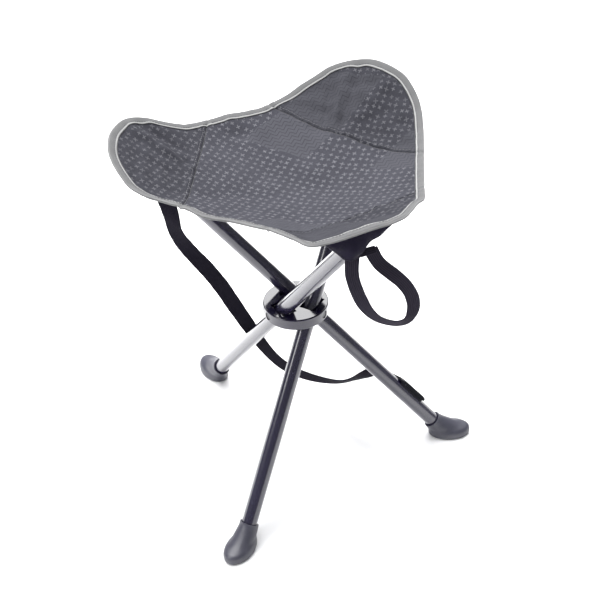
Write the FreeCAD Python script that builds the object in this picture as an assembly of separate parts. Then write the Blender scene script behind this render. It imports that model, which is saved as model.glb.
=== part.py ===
import FreeCAD, Part
import math
import os

V = FreeCAD.Vector
os.makedirs("parts", exist_ok=True)

# ---------------------------------------------------------------------------
# Folding tripod stool.  Millimetres, +Z up, floor at z = 0.
# Three straight tube legs cross in a round moulded hub, each on its own radial
# pin.  The leg tops sit in pockets under the corners of a fabric seat.  A leg
# is named after the seat corner that it carries: left, front or rear.
# ---------------------------------------------------------------------------

# frame: the hub axis stands here, so that the origin is under the middle of
# the whole stool's box
HUB_X = -14.378
HUB_Y = 4.713

# legs
TUBE_R = 9.5            # outer radius of the leg tube
TUBE_WALL = 1.2
LEG_TILT = {"left": 38.93, "front": 38.93, "rear": 36.92}     # degrees from vertical, stool open
LEG_OFFSET = 20.17      # leg axis from the hub axis
PIVOT_Z = 244.25        # height of the pivot pins
LEG_AZIMUTH = {"left": 0.8, "front": 120.8, "rear": -120.4}   # towards the foot
TUBE_LOW = -294.5       # lower and upper tube ends, along the leg from the pivot
TUBE_TOP = 243.0
CAP_RISE = 6.0          # end cap above the tube
CAP_PLUG = 16.0         # end cap inside the tube

# hub
HUB_R = 40.0
HUB_H = 15.0
HUB_EDGE = 1.6          # rounded rim
SLOT_CLEAR = 0.45       # around the tube, over the whole swing
FOLD_DEG = {"left": 33.0, "front": 33.0, "rear": 31.0}        # swing of each leg from open to folded

# pivot pins
PIN_R = 3.0
PIN_RUN = 0.05          # radial running clearance in the tube
PIN_IN = 4.0            # inner end, from the hub axis
PIN_HEAD_R = 4.6
PIN_HEAD_AT = 37.0      # seat of the head, from the hub axis
PIN_HEAD_H = 2.2
PIN_BORE_R = 4.9

# feet
FOOT_MOUTH = {"left": 31.5, "front": 35.5, "rear": 32.5}      # mouth above the floor point, along the leg
FOOT_MOUTH_R = 11.8
# side view of the boot from the sole up: heel side and toe side as (ahead of the
# floor point, height), and the half width
FOOT_RINGS = [((-21.5, 0.0), (29.6, 0.0), 15.8),
              ((-23.0, 1.4), (31.3, 1.8), 17.0),
              ((-23.6, 4.0), (31.9, 5.6), 17.3),
              ((-24.0, 6.8), (30.6, 10.8), 16.4),
              ((-24.8, 9.4), (23.5, 14.2), 14.6),
              ((-26.0, 12.0), (11.5, 18.2), 13.2),
              ((-27.6, 14.8), (-1.0, 24.6), 12.4)]

# seat
SEAT_T = 2.4            # panel
BIND_T = 3.4            # binding tape, folded over the edge
BIND_W = 11.0
SEAT_CENTRE_Z = 415.0   # sag in the middle
SEAT_POWER = 1.9        # rise from the middle to the edge
SEAM_R = {"left": 108.0, "front": 117.0, "rear": 100.0}    # corner seams, from the middle of the seat
CORNER_AZ = {"left": 174.0, "front": -68.0, "rear": 54.0}
# outer edge every 5 degrees from +X: radius and height
EDGE_R = [147.8, 149.8, 153.0, 157.2, 162.9, 169.7, 177.7, 185.0, 190.5, 195.1, 196.2, 197.2,
          198.6, 198.0, 196.5, 191.6, 176.4, 165.9, 153.8, 148.3, 144.5, 141.0, 141.3, 142.6,
          146.4, 146.3, 147.0, 148.6, 151.0, 154.3, 165.4, 180.6, 190.8, 195.8, 198.3, 200.2,
          200.0, 198.8, 195.3, 190.3, 184.8, 174.1, 159.9, 150.2, 144.0, 141.4, 137.7, 133.4,
          130.8, 130.8, 133.1, 137.4, 142.7, 152.4, 165.7, 182.3, 191.5, 194.0, 195.3, 196.3,
          197.5, 195.7, 187.8, 180.4, 174.9, 169.0, 161.9, 156.1, 152.1, 149.2, 147.6, 147.2]
EDGE_Z = [445.2, 445.1, 445.6, 446.6, 448.3, 451.5, 456.9, 464.0, 471.4, 478.1, 482.2, 483.6,
          482.5, 479.2, 473.6, 467.0, 460.5, 454.6, 449.7, 445.3, 442.0, 440.3, 439.7, 439.4,
          439.4, 439.9, 440.8, 442.4, 444.8, 448.9, 455.7, 465.5, 473.7, 478.6, 480.9, 481.8,
          481.3, 478.7, 474.0, 468.6, 463.1, 458.4, 454.7, 452.5, 451.0, 449.8, 448.9, 448.6,
          449.0, 449.8, 451.2, 453.2, 455.5, 458.0, 460.8, 464.1, 468.1, 472.5, 476.8, 479.1,
          479.8, 479.2, 476.4, 472.1, 466.6, 461.1, 456.6, 453.0, 450.1, 447.8, 446.3, 445.6]

# pockets under the corners
POCKET_LOW = 220.0      # hem, along the leg
POCKET_TOP = 273.0
POCKET_R_LOW = 12.2
POCKET_R_TOP = 20.0
POCKET_GAP = 0.6        # under the seat

# webbing: the tubes have the cross-section of the flat tape
STRAP_R = 3.2           # 20 x 1.6 mm tape
LOOP_R = 2.4            # 15 x 1.2 mm tape
STRAP = [(-149.3, 16.0, 408.9), (-145.3, 16.5, 390.0), (-141.7, 19.5, 367.0), (-140.8, 25.5, 340.8),
         (-129.4, 34.0, 310.2), (-109.1, 44.0, 272.7), (-92.4, 54.0, 235.8), (-79.3, 64.0, 197.8),
         (-65.6, 74.0, 160.5), (-52.5, 82.0, 125.0), (-36.0, 84.0, 94.5), (-16.5, 82.0, 73.0),
         (7.0, 77.0, 62.0), (31.5, 71.0, 57.5), (55.5, 63.0, 60.0), (73.5, 55.0, 71.0), (86.0, 46.0, 85.0),
         (98.0, 38.5, 99.0), (110.2, 35.8, 102.3), (121.3, 35.5, 95.8), (131.7, 35.3, 90.1)]
LOOP = [(60.9, -140.0, 416.8), (59.0, -144.5, 401.3), (62.0, -148.0, 386.7), (67.8, -150.0, 370.0),
        (74.7, -151.5, 355.3), (85.0, -152.5, 343.1), (98.0, -153.0, 336.9), (110.4, -153.0, 334.7),
        (120.6, -152.3, 338.3), (125.4, -151.0, 349.4), (125.9, -149.5, 361.2), (121.7, -148.0, 374.3),
        (113.2, -146.5, 386.5), (101.3, -145.0, 397.4), (90.2, -144.0, 407.1), (83.7, -143.0, 416.8),
        (79.6, -142.0, 427.2)]

# clip that holds the lower strap end on the left leg
CLIP_W = 16.0
CLIP_TURN = 25.5        # degrees round the leg, from its upper side to its back
CLIP_RIVET_S = -232.0
CLIP_RIVET_R = 2.0

# ---------------------------------------------------------------------------
parts = {}


class Leg:
    """One leg at azimuth 0: its axis, its upper side and its floor point."""

    def __init__(self, name):
        t = math.radians(LEG_TILT[name])
        self.azimuth = LEG_AZIMUTH[name]
        self.v = V(-math.sin(t), 0, math.cos(t))      # up the leg
        self.w = V(math.cos(t), 0, math.sin(t))       # upper side
        self.floor = PIVOT_Z / math.cos(t)            # pivot to floor point

    def at(self, s, n=0.0, w=0.0):
        return V(0, LEG_OFFSET + n, PIVOT_Z) + self.v * s + self.w * w


LEGS = {name: Leg(name) for name in LEG_AZIMUTH}


def turned(shape, azimuth):
    out = shape.copy()
    out.rotate(V(0, 0, 0), V(0, 0, 1), azimuth)
    return out


def keep(name, shape):
    parts[name] = shape


def periodic(table, deg):
    n = len(table)
    x = (deg % 360.0) / (360.0 / n)
    i = int(math.floor(x))
    f = x - i
    a, b, c, d = (table[(i + k) % n] for k in (-1, 0, 1, 2))
    return b + 0.5 * f * (c - a + f * (2 * a - 5 * b + 4 * c - d + f * (3 * (b - c) + d - a)))


def seat_z(x, y):
    r = math.hypot(x, y)
    if r < 1e-6:
        return SEAT_CENTRE_Z
    deg = math.degrees(math.atan2(y, x))
    t = r / periodic(EDGE_R, deg)
    return SEAT_CENTRE_Z + (periodic(EDGE_Z, deg) - SEAT_CENTRE_Z) * t ** SEAT_POWER


# --- hub --------------------------------------------------------------------
hub = Part.makeCylinder(HUB_R, HUB_H, V(0, 0, PIVOT_Z - HUB_H / 2))
rims = [e for e in hub.Edges if isinstance(e.Curve, Part.Circle)]
hub = hub.makeFillet(HUB_EDGE, rims)
re = TUBE_R + SLOT_CLEAR


def side(a_deg, z, sign):
    a = math.radians(a_deg)
    return z * math.tan(a) + sign * re / math.cos(a)


def swing_slot(name):
    zc = 12.0
    hi = LEG_TILT[name]
    lo = hi - FOLD_DEG[name]
    cross = (re / math.cos(math.radians(hi)) - re / math.cos(math.radians(lo))) / (
        math.tan(math.radians(hi)) - math.tan(math.radians(lo)))
    pts = [(side(lo, zc, -1), zc), (side(lo, cross, -1), cross), (side(hi, -zc, -1), -zc),
           (side(lo, -zc, 1), -zc), (side(lo, -cross, 1), -cross), (side(hi, zc, 1), zc)]
    wire = Part.makePolygon([V(-u, LEG_OFFSET - re, PIVOT_Z + z) for u, z in pts + pts[:1]])
    return Part.Face(wire).extrude(V(0, 2 * re, 0))


pin_hole = Part.makeCylinder(PIN_R, HUB_R - PIN_IN, V(0, PIN_IN, PIVOT_Z), V(0, 1, 0))
pin_seat = Part.makeCylinder(PIN_BORE_R, 10, V(0, PIN_HEAD_AT, PIVOT_Z), V(0, 1, 0))
pins = []
for name, az in LEG_AZIMUTH.items():
    hub = hub.cut(turned(swing_slot(name), az)).cut(turned(pin_hole, az)).cut(turned(pin_seat, az))
    shaft = Part.makeCylinder(PIN_R, PIN_HEAD_AT - PIN_IN, V(0, PIN_IN, PIVOT_Z), V(0, 1, 0))
    head = Part.makeCylinder(PIN_HEAD_R, PIN_HEAD_H, V(0, PIN_HEAD_AT, PIVOT_Z), V(0, 1, 0))
    outer = [e for e in head.Edges if isinstance(e.Curve, Part.Circle) and e.CenterOfMass.y > PIN_HEAD_AT + 1]
    head = head.makeFillet(1.2, outer)
    pins.append(turned(shaft.fuse(head).removeSplitter(), az))
keep("hub_body", hub)
keep("hub_pins", Part.makeCompound(pins))

# --- legs -------------------------------------------------------------------
def leg_tube(leg):
    long = TUBE_TOP - TUBE_LOW
    tube = Part.makeCylinder(TUBE_R, long, leg.at(TUBE_LOW), leg.v)
    tube = tube.cut(Part.makeCylinder(TUBE_R - TUBE_WALL, long + 2, leg.at(TUBE_LOW - 1), leg.v))
    return tube.cut(Part.makeCylinder(PIN_R + PIN_RUN, 40, V(0, LEG_OFFSET - 20, PIVOT_Z), V(0, 1, 0)))


def leg_cap(leg):
    plug_r = TUBE_R - TUBE_WALL - 0.02
    cap = Part.makeCylinder(TUBE_R, CAP_RISE, leg.at(TUBE_TOP), leg.v)
    crown = [e for e in cap.Edges if isinstance(e.Curve, Part.Circle)
             and (e.CenterOfMass - leg.at(TUBE_TOP)).dot(leg.v) > CAP_RISE / 2]
    cap = cap.makeFillet(4.0, crown)
    cap = cap.fuse(Part.makeCylinder(plug_r, CAP_PLUG, leg.at(TUBE_TOP - CAP_PLUG), leg.v)).removeSplitter()
    return cap.cut(Part.makeCylinder(plug_r - 2.0, CAP_PLUG - 2, leg.at(TUBE_TOP - CAP_PLUG), leg.v))


def foot_ring(at, heel, toe, half_wide):
    """An ellipse across the boot, from a point on its heel side to one on its toe side."""
    half = V(toe[0] - heel[0], 0, toe[1] - heel[1]) * 0.5
    mid = at + V(toe[0] + heel[0], 0, toe[1] + heel[1]) * 0.5
    a, b = half.Length, half_wide
    if a >= b:
        el = Part.Ellipse(V(a, 0, 0), V(0, b, 0), V(0, 0, 0))
    else:
        el = Part.Ellipse(V(0, b, 0), V(-a, 0, 0), V(0, 0, 0))
    w = Part.Wire(el.toShape())
    w.rotate(V(0, 0, 0), V(0, 1, 0), -math.degrees(math.atan2(half.z, half.x)))
    w.translate(mid)
    return w


def leg_foot(leg, mouth):
    """A slim boot: a sleeve round the tube, an instep and a low round toe on a flat sole."""
    at = leg.at(-leg.floor)
    m = leg.v * mouth
    heel = m - leg.w * FOOT_MOUTH_R
    toe = m + leg.w * (FOOT_MOUTH_R + 0.02)
    rings = [foot_ring(at, *ring) for ring in FOOT_RINGS]
    rings.append(foot_ring(at, (heel.x, heel.z), (toe.x, toe.z), FOOT_MOUTH_R))
    boot = Part.makeLoft(rings, True, False, False, 3)
    low = leg.floor + TUBE_LOW - 0.07
    socket = [(0, low), (TUBE_R, low), (TUBE_R, mouth - 1.7), (TUBE_R + 1.2, mouth + 0.1),
              (TUBE_R + 7.2, mouth + 9.0), (0, mouth + 9.0)]
    face = Part.Face(Part.makePolygon([at + leg.v * d + leg.w * r for r, d in socket + socket[:1]]))
    socket = face.revolve(at, leg.v, 360)
    if socket.Volume < 0:
        socket.reverse()
    return boot.cut(socket)


for name, leg in LEGS.items():
    keep(name + "_leg_tube", turned(leg_tube(leg), leg.azimuth))
    keep(name + "_leg_cap", turned(leg_cap(leg), leg.azimuth))
    keep(name + "_leg_foot", turned(leg_foot(leg, FOOT_MOUTH[name]), leg.azimuth))

# --- seat -------------------------------------------------------------------
grid = [[V(x, y, seat_z(x, y)) for y in range(-216, 217, 18)] for x in range(-216, 217, 18)]
surface = Part.BSplineSurface()
surface.interpolate(grid)
sheet = surface.toShape()


def slab(top, thick):
    f = sheet.copy()
    f.translate(V(0, 0, top))
    return f.extrude(V(0, 0, -thick))


def plan(inset):
    pts = []
    for k in range(72):
        d = 5.0 * k
        here = [periodic(EDGE_R, d + e) for e in (-1, 0, 1)]
        p = [V(r * math.cos(math.radians(d + e)), r * math.sin(math.radians(d + e)), 0)
             for r, e in zip(here, (-1, 0, 1))]
        t = p[2] - p[0]
        n = V(-t.y, t.x, 0)
        n.normalize()
        pts.append(p[1] + n * inset + V(0, 0, 360))
    curve = Part.BSplineCurve()
    curve.interpolate(Points=pts, PeriodicFlag=True)
    return Part.Face(Part.Wire(curve.toShape())).extrude(V(0, 0, 220))


whole, inner = plan(0.0), plan(BIND_W)
cloth = slab(0, SEAT_T).common(inner)
binding = slab((BIND_T - SEAT_T) / 2, BIND_T).common(whole.cut(inner))
keep("seat_binding", binding)
middle = cloth
for name, az in CORNER_AZ.items():
    beyond = Part.makeBox(300, 600, 400, V(SEAM_R[name], -300, 250))
    beyond = turned(beyond, az)
    keep(name + "_corner_panel", cloth.common(beyond))
    middle = middle.cut(beyond)
keep("seat_panel", middle)

# pockets: fabric sleeves that flare from the hem to the corner
above = sheet.copy()
above.translate(V(0, 0, -(SEAT_T + (BIND_T - SEAT_T) / 2 + POCKET_GAP)))
above = above.extrude(V(0, 0, 150))
for name, leg in LEGS.items():
    sleeve = Part.makeCone(POCKET_R_LOW, POCKET_R_TOP, POCKET_TOP - POCKET_LOW, leg.at(POCKET_LOW), leg.v)
    sleeve = sleeve.cut(Part.makeCylinder(TUBE_R + 0.3, TUBE_TOP + CAP_RISE + 0.5 - POCKET_LOW + 5,
                                          leg.at(POCKET_LOW - 5), leg.v))
    cut = turned(sleeve, leg.azimuth).cut(above)
    keep(name + "_pocket", max(cut.Solids, key=lambda s: s.Volume))


# --- webbing ----------------------------------------------------------------
def cord(route, radius, label):
    p = [V(*q) for q in route]
    edges = []
    last = p[0]
    length = 0.0
    radii = []
    for a, b, c in zip(p, p[1:], p[2:]):
        d1, d2 = (a - b), (c - b)
        l1, l2 = d1.Length, d2.Length
        d1.normalize()
        d2.normalize()
        turn = math.pi - math.acos(max(-1, min(1, d1.dot(d2))))
        back = 0.45 * min(l1, l2)
        r = back / math.tan(turn / 2)
        radii.append(round(r, 1))
        s, e = b + d1 * back, b + d2 * back
        half = d1 + d2
        half.normalize()
        centre = b + half * (r / math.cos(turn / 2))
        to_b = b - centre
        to_b.normalize()
        edges.append(Part.LineSegment(last, s).toShape())
        edges.append(Part.Arc(s, centre + to_b * r, e).toShape())
        last = e
    edges.append(Part.LineSegment(last, p[-1]).toShape())
    path = Part.Wire(edges)
    start = p[1] - p[0]
    ring = Part.Wire(Part.makeCircle(radius, p[0], start))
    tube_ = path.makePipeShell([ring], True, False)
    want = math.pi * radius ** 2 * path.Length
    print(label, "length", round(path.Length, 1), "volume/section*length", round(tube_.Volume / want, 4))
    print("  radii", radii)
    return tube_


strap = cord(STRAP, STRAP_R, "carry strap")
loop = cord(LOOP, LOOP_R, "closing loop")

# clip on the upper back side of the left leg
leg = LEGS["left"]
profile = [(-247.0, 10.5), (-246.4, 12.8), (-244.0, 13.9), (-232.0, 14.2), (-220.0, 14.3), (-211.0, 14.0),
           (-205.0, 13.2), (-200.0, 11.9), (-198.0, 11.0), (-199.2, 10.2), (-206.0, 9.95), (-225.0, 9.85),
           (-243.0, 9.85), (-246.2, 9.9)]
outline = Part.BSplineCurve()
outline.interpolate(Points=[leg.at(s, -CLIP_W / 2, w) for s, w in profile], PeriodicFlag=True)
clip = Part.Face(Part.Wire(outline.toShape())).extrude(V(0, CLIP_W, 0))
saddle = Part.makeCylinder(5.0, 4.0, leg.at(CLIP_RIVET_S, 0, 8.0), leg.w)
saddle = saddle.cut(Part.makeCylinder(TUBE_R, 60, leg.at(CLIP_RIVET_S - 30), leg.v))
clip = clip.fuse(max(saddle.Solids, key=lambda s: s.Volume)).removeSplitter()
hole = Part.makeCylinder(CLIP_RIVET_R, 20, leg.at(CLIP_RIVET_S, 0, 4.0), leg.w)
rivet = Part.makeCylinder(CLIP_RIVET_R, 5.8, leg.at(CLIP_RIVET_S, 0, 6.8), leg.w)
rivet_head = Part.makeCylinder(3.6, 1.5, leg.at(CLIP_RIVET_S, 0, 12.6), leg.w)
edge = [e for e in rivet_head.Edges if isinstance(e.Curve, Part.Circle)
        and (e.CenterOfMass - leg.at(CLIP_RIVET_S)).dot(leg.w) > 13.5]
rivet = rivet.fuse(rivet_head.makeFillet(0.9, edge)).removeSplitter()
clip = clip.cut(hole).cut(Part.makeCylinder(4.2, 5, leg.at(CLIP_RIVET_S, 0, 12.6), leg.w))


def on_left(shape):
    out = shape.copy()
    out.rotate(leg.at(0), leg.v, CLIP_TURN)
    return turned(out, leg.azimuth)


parts["left_leg_tube"] = parts["left_leg_tube"].cut(on_left(hole))
keep("strap_clip", on_left(clip))
keep("strap_clip_rivet", on_left(rivet))
strap = strap.cut(parts["left_pocket"]).cut(parts["strap_clip"])
keep("carry_strap", max(strap.Solids, key=lambda s: s.Volume))
loop = loop.cut(parts["front_pocket"])
keep("closing_loop", max(loop.Solids, key=lambda s: s.Volume))

# --- write ------------------------------------------------------------------
box = FreeCAD.BoundBox()
for name, shape in parts.items():
    if name not in ("carry_strap", "closing_loop"):
        box.add(shape.optimalBoundingBox(False))
print("box", [round(q, 2) for q in (box.XMin, box.XMax, box.YMin, box.YMax, box.ZMin, box.ZMax)],
      "middle", round(box.Center.x, 3), round(box.Center.y, 3))
for name, shape in sorted(parts.items()):
    out = shape.copy()
    out.translate(V(HUB_X, HUB_Y, 0))
    print(name, len(out.Solids), out.isValid(), round(out.Volume, 1))
    if len(out.Solids) == 1:
        out = out.Solids[0]
    out.exportStep("parts/%s.step" % name)
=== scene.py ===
import math

import bpy
import numpy as np
from mathutils import Matrix, Vector


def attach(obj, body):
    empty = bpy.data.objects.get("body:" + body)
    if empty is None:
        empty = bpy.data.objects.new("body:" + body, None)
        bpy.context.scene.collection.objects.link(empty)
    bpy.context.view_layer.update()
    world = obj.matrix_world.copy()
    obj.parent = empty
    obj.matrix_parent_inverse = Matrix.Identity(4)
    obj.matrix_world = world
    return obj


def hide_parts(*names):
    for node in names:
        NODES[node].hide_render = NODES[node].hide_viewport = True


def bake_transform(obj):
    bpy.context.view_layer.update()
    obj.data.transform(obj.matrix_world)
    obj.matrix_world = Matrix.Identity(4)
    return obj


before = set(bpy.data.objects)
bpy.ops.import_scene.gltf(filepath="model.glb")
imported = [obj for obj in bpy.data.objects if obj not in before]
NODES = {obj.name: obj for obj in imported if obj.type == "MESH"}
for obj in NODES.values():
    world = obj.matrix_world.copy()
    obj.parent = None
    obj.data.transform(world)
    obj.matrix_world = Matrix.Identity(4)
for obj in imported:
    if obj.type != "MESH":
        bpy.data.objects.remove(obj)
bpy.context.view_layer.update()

scene = bpy.context.scene

# ---------------------------------------------------------------- frame of the stool
# lengths in millimetres about the hub axis; HUB shifts them to the model frame
HUB = np.array([-14.378, 4.713, 0.0])


def metres(p):
    return (np.asarray(p, float) + HUB) / 1000.0


LEG_AZIMUTH = {"left": 0.8, "front": 120.8, "rear": -120.4}
LEG_TILT = {"left": 38.93, "front": 38.93, "rear": 36.92}
LEG_OFFSET = 20.17
PIVOT_Z = 244.25


def leg_frame(k):
    """pivot, axis upwards, sideways and upper-side directions of a leg"""
    a = math.radians(LEG_AZIMUTH[k])
    g = np.array([math.cos(a), math.sin(a), 0.0])
    n = np.array([-math.sin(a), math.cos(a), 0.0])
    z = np.array([0.0, 0.0, 1.0])
    t = math.radians(LEG_TILT[k])
    return (LEG_OFFSET * n + PIVOT_Z * z,
            -math.sin(t) * g + math.cos(t) * z,
            n,
            math.cos(t) * g + math.sin(t) * z)


# ---------------------------------------------------------------- camera
CAM_F, CAM_D, CAM_E = 1257.4, 1529.6, math.radians(38.28)
CAM_PX, CAM_PY, CAM_ROLL = 295.87, 304.68, math.radians(-1.470)
cam_pos = np.array([0.0, -CAM_D * math.cos(CAM_E), PIVOT_Z + CAM_D * math.sin(CAM_E)])


def unit(v):
    v = np.asarray(v, float)
    return v / np.linalg.norm(v)


def make_camera():
    fwd = unit(np.array([0, 0, PIVOT_Z]) - cam_pos)
    right0 = np.array([1.0, 0.0, 0.0])
    up0 = np.cross(right0, fwd)
    fw = unit(fwd - (CAM_PX - 306) / CAM_F * right0 + (CAM_PY - 306) / CAM_F * up0)
    r = unit(np.cross(fw, [0, 0, 1]))
    u = np.cross(r, fw)
    c, s = math.cos(CAM_ROLL), math.sin(CAM_ROLL)
    right, up = c * r + s * u, -s * r + c * u
    data = bpy.data.cameras.new("camera")
    data.sensor_fit = "HORIZONTAL"
    data.sensor_width = 36.0
    data.lens = CAM_F * 36.0 / 612.0
    data.clip_start, data.clip_end = 0.05, 60.0
    data.dof.use_dof = False
    ob = bpy.data.objects.new("camera", data)
    m = Matrix.Identity(4)
    for i in range(3):
        m[i][0], m[i][1], m[i][2] = right[i], up[i], -fw[i]
        m[i][3] = float(metres(cam_pos)[i])
    ob.matrix_world = m
    scene.collection.objects.link(ob)
    scene.camera = ob
    return fw


VIEW = make_camera()

# ---------------------------------------------------------------- mesh helpers


def make_object(name, verts_mm, faces, uv=None, normals=None, smooth=True):
    me = bpy.data.meshes.new(name)
    v = metres(verts_mm)
    me.from_pydata(v.tolist(), [], [list(map(int, f)) for f in faces], shade_flat=not smooth)
    if uv is not None:
        layer = me.uv_layers.new(name="cloth")
        idx = np.zeros(len(me.loops), np.int32)
        me.loops.foreach_get("vertex_index", idx)
        layer.data.foreach_set("uv", np.asarray(uv, np.float32)[idx].ravel())
    me.validate(clean_customdata=False)
    if normals is not None and len(normals) == len(me.loops):
        me.normals_split_custom_set(np.asarray(normals, float).tolist())
    me.update()
    ob = bpy.data.objects.new(name, me)
    scene.collection.objects.link(ob)
    return ob


def weld(P, F, extra):
    """merge coincident points of a grid and drop the faces that collapse"""
    key = np.round(P, 3)
    _, first, inv = np.unique(key, axis=0, return_index=True, return_inverse=True)
    inv = np.asarray(inv).ravel()
    G = []
    for f in F:
        g = []
        for i in f:
            j = int(inv[i])
            if not g or g[-1] != j:
                g.append(j)
        if len(g) > 1 and g[0] == g[-1]:
            g.pop()
        if len(set(g)) >= 3:
            G.append(g)
    return P[first], G, [e[first] for e in extra]


def shell(name, P, N, F, uv, thick):
    """closed cloth shell: P is its upper face, N the normals there"""
    n = len(P)
    t = np.asarray(thick, float).reshape(-1, 1) if np.ndim(thick) else thick
    V = np.vstack([P, P - N * t])
    faces = [list(f) for f in F] + [[i + n for i in reversed(f)] for f in F]
    nor = [N[i] for f in F for i in f] + [-N[i] for f in F for i in reversed(f)]
    half = {(f[i], f[(i + 1) % len(f)]) for f in F for i in range(len(f))}
    for a, b in sorted(half):
        if (b, a) not in half:
            faces.append([b, a, a + n, b + n])
            e = np.cross(V[b] - V[a], N[a])
            e = e / (np.linalg.norm(e) + 1e-12)
            nor += [e] * 4
    return make_object(name, V, faces, np.vstack([uv, uv]), nor)


def grid_faces(rows, cols):
    F = []
    for j in range(rows - 1):
        for i in range(cols - 1):
            a = j * cols + i
            F.append([a, a + 1, a + cols + 1, a + cols])
    return F


def sweep(name, rings, uv_rings, caps=True):
    """closed profile carried along a line; rings is (lines, profile points, 3)"""
    R = np.asarray(rings, float)
    n, m = R.shape[:2]
    V = R.reshape(-1, 3)
    F = []
    for j in range(n - 1):
        for i in range(m):
            k = (i + 1) % m
            F.append([j * m + i, j * m + k, (j + 1) * m + k, (j + 1) * m + i])
    sides = len(F)
    if caps:
        F.append(list(reversed(range(m))))
        F.append([(n - 1) * m + i for i in range(m)])
    c = V - V.mean(0)
    vol = sum(np.dot(c[f[0]], np.cross(c[f[i]], c[f[i + 1]])) for f in F for i in range(1, len(f) - 1))
    if vol < 0:
        F = [list(reversed(f)) for f in F]
    # smooth along the sides, flat on the ends
    N = np.zeros_like(V)
    for f in F[:sides]:
        q = np.cross(V[f[2]] - V[f[0]], V[f[3]] - V[f[1]])
        for i in f:
            N[i] += q
    N /= np.linalg.norm(N, axis=1, keepdims=True) + 1e-12
    nor = [N[i] for f in F[:sides] for i in f]
    for f in F[sides:]:
        q = sum(np.cross(V[f[i]] - V[f[0]], V[f[i + 1]] - V[f[0]]) for i in range(1, len(f) - 1))
        nor += [q / (np.linalg.norm(q) + 1e-12)] * len(f)
    return make_object(name, V, F, np.asarray(uv_rings, float).reshape(-1, 2), nor)


def shadow_cord(name, P, N, radius, sides=8):
    """thin round cord laid along a line on the cloth; the script uses it for black lines that stand in for shadow
    lines (painted shade)
    """
    P, N = np.asarray(P, float), np.asarray(N, float)
    T = np.gradient(P, axis=0)
    T /= np.linalg.norm(T, axis=1, keepdims=True)
    s = np.concatenate([[0], np.cumsum(np.linalg.norm(np.diff(P, axis=0), axis=1))])
    rings, uvs = [], []
    for j in range(len(P)):
        a = unit(np.cross(T[j], N[j]))
        b = np.cross(a, T[j])
        q = [2 * math.pi * i / sides for i in range(sides)]
        rings.append([P[j] + radius * (math.cos(w) * a + math.sin(w) * b) for w in q])
        uvs.append([(s[j] / 1000.0, w * radius / 1000.0) for w in q])
    return sweep(name, rings, uvs)


def capsules(runs, radius, sides=6):
    """sewing thread: each run is (points, normals) of one stitch, already arched"""
    V, F, U = [], [], []
    for pts, nrm in runs:
        m = len(pts)
        base = len(V)
        for j in range(m):
            t = unit(pts[min(j + 1, m - 1)] - pts[max(j - 1, 0)])
            a = unit(np.cross(t, nrm[j]))
            b = np.cross(a, t)
            rr = radius * (0.55 if j in (0, m - 1) else 1.0)
            for s in range(sides):
                q = 2 * math.pi * s / sides
                V.append(pts[j] + rr * (math.cos(q) * a + math.sin(q) * b))
                U.append((j / (m - 1) * 0.003, s / sides * 0.002))
        for j in range(m - 1):
            for s in range(sides):
                k = (s + 1) % sides
                F.append([base + j * sides + s, base + j * sides + k,
                          base + (j + 1) * sides + k, base + (j + 1) * sides + s])
        F.append([base + s for s in reversed(range(sides))])
        F.append([base + (m - 1) * sides + s for s in range(sides)])
    return V, F, U


def stitch_object(name, lines, length=2.7, gap=0.8, radius=0.34, rise=0.30):
    """rows of lock stitches along lines of (points, normals)"""
    runs = []
    for P, N in lines:
        P, N = np.asarray(P, float), np.asarray(N, float)
        seg = np.linalg.norm(np.diff(P, axis=0), axis=1)
        s = np.concatenate([[0], np.cumsum(seg)])
        count = int((s[-1] - 0.6) / (length + gap))
        if count < 1:
            continue
        pitch = s[-1] / count
        for i in range(count):
            q = i * pitch + gap / 2 + np.linspace(0, 1, 6) * (pitch - gap)
            pts = np.stack([np.interp(q, s, P[:, c]) for c in range(3)], 1)
            nr = np.stack([np.interp(q, s, N[:, c]) for c in range(3)], 1)
            nr /= np.linalg.norm(nr, axis=1, keepdims=True)
            arch = np.array([-0.55, 0.35, 0.9, 0.9, 0.35, -0.55])[:, None]
            runs.append((pts + nr * (arch * rise), nr))
    V, F, U = capsules(runs, radius)
    ob = make_object(name, np.array(V), F, np.array(U))
    return ob


# ---------------------------------------------------------------- webbing (carry strap and closing loop)
STRAP_ROUTE = [(-149.3, 16.0, 408.9), (-145.3, 16.5, 390.0), (-141.7, 19.5, 367.0), (-140.8, 25.5, 340.8),
               (-129.4, 34.0, 310.2), (-109.1, 44.0, 272.7), (-92.4, 54.0, 235.8), (-79.3, 64.0, 197.8),
               (-65.6, 74.0, 160.5), (-52.5, 82.0, 125.0), (-36.0, 84.0, 94.5), (-16.5, 82.0, 73.0),
               (7.0, 77.0, 62.0), (31.5, 71.0, 57.5), (55.5, 63.0, 60.0), (73.5, 55.0, 71.0),
               (86.0, 46.0, 85.0), (98.0, 38.5, 99.0), (110.2, 35.8, 102.3), (121.3, 35.5, 95.8),
               (131.7, 35.3, 90.1)]
LOOP_ROUTE = [(60.9, -140.0, 416.8), (59.0, -144.5, 401.3), (62.0, -148.0, 386.7), (67.8, -150.0, 370.0),
              (74.7, -151.5, 355.3), (85.0, -152.5, 343.1), (98.0, -153.0, 336.9), (110.4, -153.0, 334.7),
              (120.6, -152.3, 338.3), (125.4, -151.0, 349.4), (125.9, -149.5, 361.2), (121.7, -148.0, 374.3),
              (113.2, -146.5, 386.5), (101.3, -145.0, 397.4), (90.2, -144.0, 407.1), (83.7, -143.0, 416.8),
              (79.6, -142.0, 427.2)]
# turn of the tape about its own line at each route point, from facing the camera (0) to edge-on (90)
STRAP_TURN = [4, 6, 24, 46, 28, 18, 12, 10, 20, 38, 52, 52, 60, 66, 80, 86, 56, 46, 64, 88, 90]
LOOP_TURN = [0, 2, 6, 14, 36, 60, 69, 71, 64, 32, 12, 4, 0, 0, 0, 0, 0]
TAB_ROUTE = [(57.0, -141.5, 419.0), (66.0, -143.6, 422.3), (75.0, -144.6, 425.6), (84.5, -145.0, 429.0)]


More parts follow.
